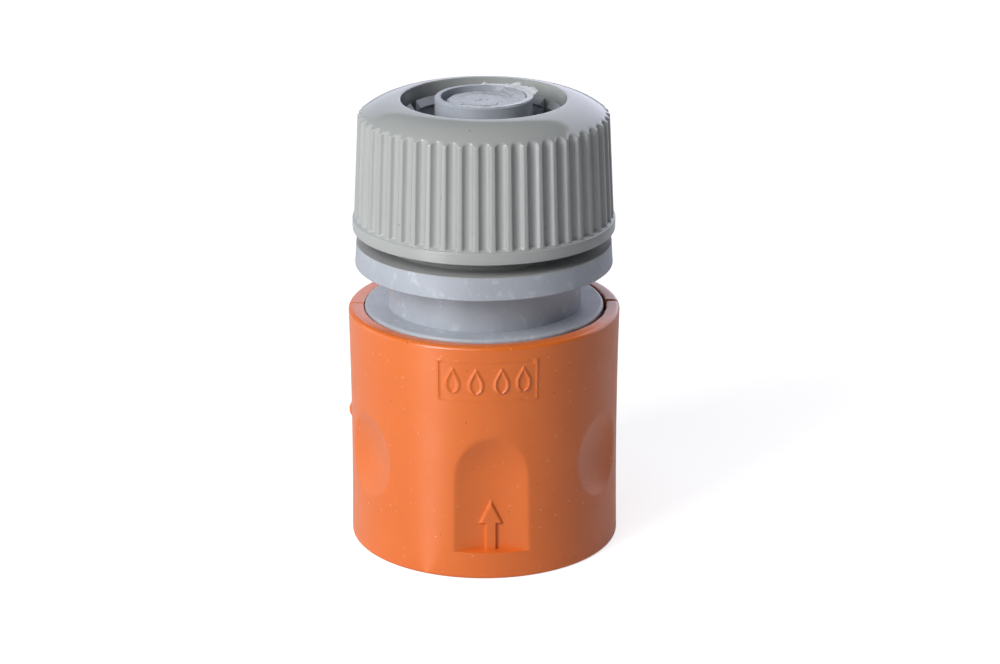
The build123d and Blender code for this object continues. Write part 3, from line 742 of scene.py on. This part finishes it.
NODE_MATERIALS = {
    "tail_body": BODY_GREY, "socket_core": BODY_GREY, "core_seal": RUBBER, "valve_seal": RUBBER,
    "lock_jaw_1": JAW_WHITE, "lock_jaw_2": JAW_WHITE, "lock_jaw_3": JAW_WHITE,
    "lock_jaw_4": JAW_WHITE, "valve_stem": VALVE_GREY, "valve_foot": VALVE_GREY,
}
for name, material in NODE_MATERIALS.items():
    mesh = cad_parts[name].data
    mesh.materials.clear()
    mesh.materials.append(material)


# Springs

def coil(radius, wire, foot, head, turns, steps=84, sides=16):
    """Wire wound about the axis from height foot to height head, closed at both ends."""
    t = np.linspace(0, 1, round(turns * steps) + 1)
    angle = 2 * math.pi * turns * t
    out = np.stack([np.cos(angle), np.sin(angle), 0 * t], -1)
    rise = np.full_like(t, (head - foot) / (2 * math.pi * turns))
    along = np.stack([-radius * np.sin(angle), radius * np.cos(angle), rise], -1)
    along /= np.linalg.norm(along, axis=1, keepdims=True)
    up = np.cross(out, along)
    path = radius * out + np.stack([0 * t, 0 * t, foot + (head - foot) * t], -1)
    turn = np.arange(sides) * 2 * math.pi / sides
    ring = np.cos(turn)[None, :, None] * out[:, None] + np.sin(turn)[None, :, None] * up[:, None]
    verts = (path[:, None] + wire / 2 * ring).reshape(-1, 3)
    i, j = np.meshgrid(np.arange(len(t) - 1), np.arange(sides), indexing="ij")
    here, beside = i * sides + j, i * sides + (j + 1) % sides
    faces = np.stack([here, beside, beside + sides, here + sides], -1).reshape(-1, 4).tolist()
    last = (len(t) - 1) * sides
    return verts, faces + [list(range(sides)), list(range(last, last + sides))]


SLEEVE_COIL = {"radius": 13.3, "wire": 1.0, "foot": 15.55, "head": 28.15, "turns": 3.5}
VALVE_COIL = {"radius": 5.45, "wire": 0.7, "foot": 24.9, "head": 32.4, "turns": 4.0}

sleeve_coil = raw_object("sleeve_coil", *coil(**SLEEVE_COIL), sharp=50)
dressed(sleeve_coil, "body", "spring_steel", STEEL, "sleeve_spring")
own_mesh(sleeve_coil)
valve_coil = raw_object("valve_coil", *coil(**VALVE_COIL), sharp=50)
dressed(valve_coil, "body", "spring_steel", STEEL, "valve_spring")
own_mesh(valve_coil)


# Plug face, a thin sheet on the valve's plug that carries its marks

PLUG_TOP = 58.24
PLUG_R = 4.5
PLUG_SHEET = 0.14
PLUG_EDGE = 0.04
PLUG_COLUMNS = 240
PLUG_ROWS = np.linspace(0.1, 4.42, 62)
PLUG_FACE_R = 5.37

# Film over the right part: where it starts and ends around the axis, and its inner edge's radii
FILM_START, FILM_END = (6, 14), (156, 148)
FILM_EDGE = ((8, 15, 34, 60, 85, 110, 140, 152), (5.3, 4.6, 2.9, 2.85, 3.25, 3.8, 4.5, 5.3))
FILM_EDGE_WAVES = ((31, 0.10), (11, 0.07), (5, 0.04))
FILM_EDGE_WALL = (-0.05, 0.09)
FILM_OVERHANG = 0.88
FILM_H, FILM_CRUMPLE, FILM_LIP = 0.24, 0.04, 0.12
FILM_LIP_R = (4.4, 5.2)

RING_R, RING_W = 3.0, 0.13
RING_H, RING_EXTRA, RING_EXTRA_TURNS = 0.05, 0.07, (20, 60)
GATE_X, GATE_Y, GATE_W, GATE_L, GATE_H = -0.35, -0.1, 0.32, 0.30, 0.10
PITS = ((-0.95, -0.65), (0.40, -0.15))
PIT_R, PIT_DEPTH = 0.16, 0.08
LUMPS_R, LUMPS_W, LUMPS_TURN, LUMPS_SPREAD, LUMPS_H = 4.15, 0.28, -38, 13, 0.20
PATCH_X, PATCH_Y, PATCH_W, PATCH_L, PATCH_H = 0.05, -3.8, 0.75, 0.5, 0.16
ROUGH_H = 0.006


def film_crumple(x, y):
    across = wobble(x + 0.6 * y, 22, (1.9, 0.5), (0.9, 0.4))
    return across * wobble(y - 0.3 * x, 23, (2.3, 0.6), (0.8, 0.4))


def plug_shape(az, r, z):
    """Ring mark, gate mark, lumps at the front edge and a thin film over the right part."""
    az = turn_between(az, 0)
    in_film = smooth_step(az, *FILM_START) * smooth_step(az, *FILM_END)
    r = r / PLUG_R * (PLUG_R + FILM_OVERHANG * in_film)
    edge = np.interp(az, *FILM_EDGE) + wobble(az, 21, *FILM_EDGE_WAVES)
    x, y = r * np.sin(np.radians(az)), -r * np.cos(np.radians(az))
    film = smooth_step(r - edge, *FILM_EDGE_WALL) * in_film
    thick = FILM_H + FILM_CRUMPLE * film_crumple(x, y) + FILM_LIP * smooth_step(r, *FILM_LIP_R)
    ring = hill(r - RING_R, RING_W) * (RING_H + RING_EXTRA * smooth_step(az, *RING_EXTRA_TURNS))
    gate = GATE_H * hill(x - GATE_X, GATE_W) * hill(y - GATE_Y, GATE_L)
    for pit_x, pit_y in PITS:
        gate = gate - PIT_DEPTH * hill(x - pit_x, PIT_R) * hill(y - pit_y, PIT_R)
    lumps = hill(r - LUMPS_R, LUMPS_W) * hill(az - LUMPS_TURN, LUMPS_SPREAD)
    lumps = lumps * (1 + wobble(az, 24, (7, 0.5), (3, 0.4)))
    patch = hill(x - PATCH_X, PATCH_W, 4) * hill(y - PATCH_Y, PATCH_L, 4)
    patch = patch * (1 + wobble(x + y, 25, (0.7, 0.4), (0.31, 0.3)))
    rough = wobble(x, 26, (1.3, 0.5), (0.53, 0.5)) * wobble(y, 27, (1.1, 0.6), (0.47, 0.5))
    rise = film * thick + (ring + gate) * (1 - film)
    rise = rise + LUMPS_H * lumps + PATCH_H * patch + ROUGH_H * rough
    return az, r, z + np.where((z > PLUG_TOP - HAIR) & (r < PLUG_FACE_R), rise, 0)


plug_outline = [(0.0, PLUG_TOP)] + [(r, PLUG_TOP) for r in PLUG_ROWS]
plug_outline += [(PLUG_R, PLUG_TOP - PLUG_EDGE), (PLUG_R, PLUG_TOP - PLUG_SHEET)]
plug_outline += [(0.0, PLUG_TOP - PLUG_SHEET)]
plug_azimuths = np.arange(PLUG_COLUMNS) * 360.0 / PLUG_COLUMNS
plug_face = raw_object(
    "plug_face", *turned(np.array(plug_outline), plug_azimuths, plug_shape), sharp=60,
)
dressed(plug_face, "valve", "valve_plastic", VALVE_GREY)


# Flash on the hose tail's rim, with torn flaps at its right

TAIL_TOP = 58.70
FLASH_TURNS = (-40, 182)
FLASH_COLUMNS = 330
FLASH_ROWS = 12
FLASH_INNER_R = 5.42
FLASH_INNER_WAVE = 0.12
FLASH_OUTER = (
    (-40, -25, 0, 40, 88, 98, 112, 124, 133, 146, 154, 170, 182),
    (5.75, 5.95, 6.0, 6.12, 6.25, 6.75, 7.15, 6.75, 6.65, 6.9, 6.35, 6.15, 6.0),
)
TORN_START, TORN_END = (88, 98), (154, 148)
OUTER_WAVES = ((19, 0.20), (8.3, 0.16), (3.9, 0.10))
EVEN_WAVE, TORN_WAVE = 0.02, 0.6
LIFT, LIFT_WAVE = 0.03, 0.03
FLAP_H, FLAP_R = 0.18, (5.9, 6.7)
FLAP_WAVES = ((27, 0.16), (12.1, 0.12), (5.3, 0.05))
BEAD_TURN, BEAD_SPREAD, BEAD_H, BEAD_SHARE = 177.5, 2.2, 0.22, (0.3, 0.8)
ENDS = ((-40, -36), (182, 180))
FLASH_THIN, FLASH_THICK = 0.02, 0.04


def rim_film():
    """Points and faces of the flash: an upper and a lower sheet, closed along their border."""
    turns = np.linspace(*FLASH_TURNS, FLASH_COLUMNS)
    torn = smooth_step(turns, *TORN_START) * smooth_step(turns, *TORN_END)
    ragged = (EVEN_WAVE + TORN_WAVE * torn) * wobble(turns, 31, *OUTER_WAVES)
    outer = np.interp(turns, *FLASH_OUTER) + ragged
    inner_wave = np.clip(wobble(turns, 32, (19, 0.5), (7, 0.5)), 0, 1)
    inner = FLASH_INNER_R + FLASH_INNER_WAVE * inner_wave
    share = np.linspace(0, 1, FLASH_ROWS)[:, None]
    r = inner + (outer - inner) * share
    lift = LIFT + LIFT_WAVE * wobble(turns, 33, (23, 0.5), (9, 0.5), (4, 0.4))
    flap = torn * smooth_step(r, *FLAP_R) * (FLAP_H + wobble(turns + 9 * r, 34, *FLAP_WAVES))
    bead = BEAD_H * hill(turns - BEAD_TURN, BEAD_SPREAD) * smooth_step(share, *BEAD_SHARE)
    fade = smooth_step(turns, *ENDS[0]) * smooth_step(turns, *ENDS[1])
    z = TAIL_TOP + (lift + bead) * fade + flap
    thick = FLASH_THIN + FLASH_THICK * np.sin(math.pi * share) * fade
    az = np.radians(turns)
    sheets = [np.stack([r * np.sin(az), -r * np.cos(az), z + side * thick], -1) for side in (1, -1)]
    verts = np.concatenate([sheet.reshape(-1, 3) for sheet in sheets])
    rows, cols = r.shape
    grid = np.arange(rows * cols).reshape(rows, cols)
    below = rows * cols
    faces = []
    for sheet in (grid, grid + below):
        corners = sheet[:-1, :-1], sheet[:-1, 1:], sheet[1:, 1:], sheet[1:, :-1]
        faces += np.stack(corners, -1).reshape(-1, 4).tolist()
    border = [*grid[0], *grid[1:, -1], *grid[-1, -2::-1], *grid[-2:0:-1, 0]]
    for a, b in zip(border, border[1:] + border[:1]):
        faces.append([int(a), int(b), int(b) + below, int(a) + below])
    return verts, faces


flash = raw_object("rim_flash", *rim_film(), sharp=60)
dressed(flash, "body", "grey_plastic", FILM_GREY)


# Floor

FLOOR_HALF = 3
FLOOR_COLOUR = (0.62, 0.62, 0.635, 1)
FLOOR_ROUGHNESS = 0.7
FLOOR_GLOW = 0.76
# A wedge of glow that only glossy rays see gives the sleeve its soft upright highlight. It spreads
# from a point at the sleeve's foot. The stops are shares of a turn about that point.
SHEEN_FOOT = (-0.0078, -0.0154, 0)
SHEEN_AZ = -48
SHEEN = 2.9
SHEEN_STOPS = ((0.452, 0.10), (0.482, 1.0), (0.518, 1.0), (0.548, 0.10))


def seen_ray(tree, *kinds):
    """1 for a ray of any of these kinds, else 0."""
    path = node(tree, "ShaderNodeLightPath")
    seen = path.outputs[kinds[0]]
    for kind in kinds[1:]:
        either = node(tree, "ShaderNodeMath", operation="MAXIMUM")
        tree.links.new(seen, either.inputs[0])
        tree.links.new(path.outputs[kind], either.inputs[1])
        seen = either.outputs[0]
    return seen


def chosen_shader(tree, factor, first, second):
    """The first shader where the factor is 0, the second where it is 1."""
    choose = node(tree, "ShaderNodeMixShader")
    for socket, source in zip(choose.inputs, (factor, first, second)):
        tree.links.new(source, socket)
    return choose.outputs[0]


def floor_material():
    """Pale floor, which the camera sees as a white ground with the part's soft shadow on it."""
    material, tree, shader = new_material("pale_floor")
    shader.inputs["Base Color"].default_value = FLOOR_COLOUR
    shader.inputs["Roughness"].default_value = FLOOR_ROUGHNESS
    glow = node(tree, "ShaderNodeEmission", Color=(1, 1, 1, 1))
    turn = texture(
        tree, "ShaderNodeMapping", node(tree, "ShaderNodeTexCoord").outputs["Object"],
        vector_type="TEXTURE", Location=SHEEN_FOOT, Rotation=(0, 0, math.radians(SHEEN_AZ - 90)),
    )
    wedge = texture(
        tree, "ShaderNodeTexGradient", turn.outputs["Vector"], gradient_type="RADIAL",
    )
    sheen = product(tree, ramp(tree, wedge.outputs["Fac"], *SHEEN_STOPS), SHEEN)
    strength = mixed(tree, seen_ray(tree, "Is Glossy Ray"), FLOOR_GLOW, sheen)
    tree.links.new(strength, glow.inputs["Strength"])
    both = node(tree, "ShaderNodeAddShader")
    tree.links.new(shader.outputs[0], both.inputs[0])
    tree.links.new(glow.outputs[0], both.inputs[1])
    seen = seen_ray(tree, "Is Camera Ray", "Is Glossy Ray", "Is Transmission Ray")
    surface = chosen_shader(tree, seen, shader.outputs[0], both.outputs[0])
    tree.links.new(surface, tree.nodes["Material Output"].inputs["Surface"])
    return material


mesh = bpy.data.meshes.new("floor")
floor_corners = [(FLOOR_HALF * x, FLOOR_HALF * y, 0) for x, y in ((-1, -1), (1, -1), (1, 1), (-1, 1))]
mesh.from_pydata(floor_corners, [], [(0, 1, 2, 3)])
mesh.materials.append(floor_material())
floor = bpy.data.objects.new("floor", mesh)
bpy.context.collection.objects.link(floor)


# World: a room that is white to the camera, with a bright back wall, dim side walls and ceiling

BACK_WALL = ((0.10, 0.0), (0.24, 1.0))
WALL_TOP = ((0.53, 1.0), (0.55, 0.0))
WALL_TOP_SLANT = -0.38
SIDE_WALLS = ((0.0, (0.05, 0.05, 0.06)), (0.55, (0.10, 0.10, 0.12)), (1.0, (0.30, 0.31, 0.34)))
CEILING = ((0.5, 0.0), (0.9, 1.0))
CEILING_COLOUR = (0.07, 0.07, 0.08)
BACK_LIT = (0.60, 0.62, 0.70)
BACK_MIRRORED = ((0.3, (2.0, 2.05, 2.4)), (0.75, (0.25, 0.27, 0.36)))


def scaled_sum(tree, value, factor, added):
    """value * factor + added, where added is a socket or a number."""
    made = node(tree, "ShaderNodeMath", operation="MULTIPLY_ADD")
    tree.links.new(value, made.inputs[0])
    made.inputs[1].default_value = factor
    if isinstance(added, bpy.types.NodeSocket):
        tree.links.new(added, made.inputs[2])
    else:
        made.inputs[2].default_value = added
    return made.outputs[0]


def background(tree, colour):
    made = node(tree, "ShaderNodeBackground", Strength=1.0)
    tree.links.new(colour, made.inputs["Color"])
    return made.outputs[0]


def set_world():
    world = bpy.data.worlds.new("studio")
    bpy.context.scene.world = world
    world.use_nodes = True
    tree = world.node_tree
    tree.nodes.clear()
    parts = node(tree, "ShaderNodeSeparateXYZ")
    tree.links.new(node(tree, "ShaderNodeTexCoord").outputs["Generated"], parts.inputs[0])
    slant = scaled_sum(tree, parts.outputs["X"], WALL_TOP_SLANT, parts.outputs["Z"])
    behind = ramp(tree, parts.outputs["Y"], *BACK_WALL)
    backdrop = product(tree, behind, ramp(tree, slant, *WALL_TOP))
    leftness = scaled_sum(tree, parts.outputs["X"], -0.5, 0.5)
    above = ramp(tree, parts.outputs["Z"], *CEILING)
    walls = mixed(tree, above, ramp(tree, leftness, *SIDE_WALLS), CEILING_COLOUR)
    lit = background(tree, mixed(tree, backdrop, walls, BACK_LIT))
    mirrored_back = ramp(tree, leftness, *BACK_MIRRORED)
    mirrored = background(tree, mixed(tree, backdrop, walls, mirrored_back))
    white = node(tree, "ShaderNodeBackground", Color=(1, 1, 1, 1), Strength=1.0).outputs[0]
    room = chosen_shader(tree, seen_ray(tree, "Is Glossy Ray"), lit, mirrored)
    seen = seen_ray(tree, "Is Camera Ray", "Is Transmission Ray")
    out = node(tree, "ShaderNodeOutputWorld")
    tree.links.new(chosen_shader(tree, seen, room, white), out.inputs["Surface"])


set_world()


# Lamps, all aimed at the part's middle

LAMP_TARGET = Vector((0, 0, 0.028))


def area_light(name, azimuth, elevation, distance, size, power, colour):
    data = bpy.data.lights.new(name, "AREA")
    data.shape = "RECTANGLE"
    data.size, data.size_y = size
    data.energy = power
    data.color = colour
    lamp = bpy.data.objects.new(name, data)
    az, el = math.radians(azimuth), math.radians(elevation)
    out = Vector((math.sin(az) * math.cos(el), -math.cos(az) * math.cos(el), math.sin(el)))
    lamp.location = LAMP_TARGET + out * distance
    lamp.rotation_euler = (-out).to_track_quat("-Z", "Y").to_euler()
    bpy.context.collection.objects.link(lamp)


area_light("softbox_left", -46, 30, 0.55, (0.20, 0.34), 2.02, (1.0, 0.985, 0.97))
area_light("softbox_front", -30, 45, 0.60, (0.35, 0.35), 0.95, (1.0, 0.99, 0.98))
area_light("fill_left", -100, 12, 0.60, (0.50, 0.40), 0.72, (0.96, 0.97, 1.0))


# Camera at the photograph's angle

VIEW_TURN = math.radians(2.0)
VIEW_UP = math.radians(19.27)
VIEW_DISTANCE = 0.370
VIEW_RIGHT = 0.00205
VIEW_HEIGHT = 0.02719
SENSOR = 36.0
LENS_PER_SENSOR = 2.85475
CLIP_START = 0.01

right = Vector((math.cos(VIEW_TURN), -math.sin(VIEW_TURN), 0))
ahead = Vector((math.sin(VIEW_TURN), math.cos(VIEW_TURN), 0))
forward = ahead * math.cos(VIEW_UP) - Vector((0, 0, math.sin(VIEW_UP)))
camera_data = bpy.data.cameras.new("camera")
camera_data.sensor_fit = "HORIZONTAL"
camera_data.sensor_width = SENSOR
camera_data.lens = SENSOR * LENS_PER_SENSOR
camera_data.clip_start = CLIP_START
camera = bpy.data.objects.new("camera", camera_data)
camera.location = right * VIEW_RIGHT + Vector((0, 0, VIEW_HEIGHT)) - forward * VIEW_DISTANCE
camera.rotation_euler = forward.to_track_quat("-Z", "Y").to_euler()
bpy.context.collection.objects.link(camera)
bpy.context.scene.camera = camera
bpy.context.scene.view_settings.view_transform = "Standard"

bpy.context.view_layer.update()
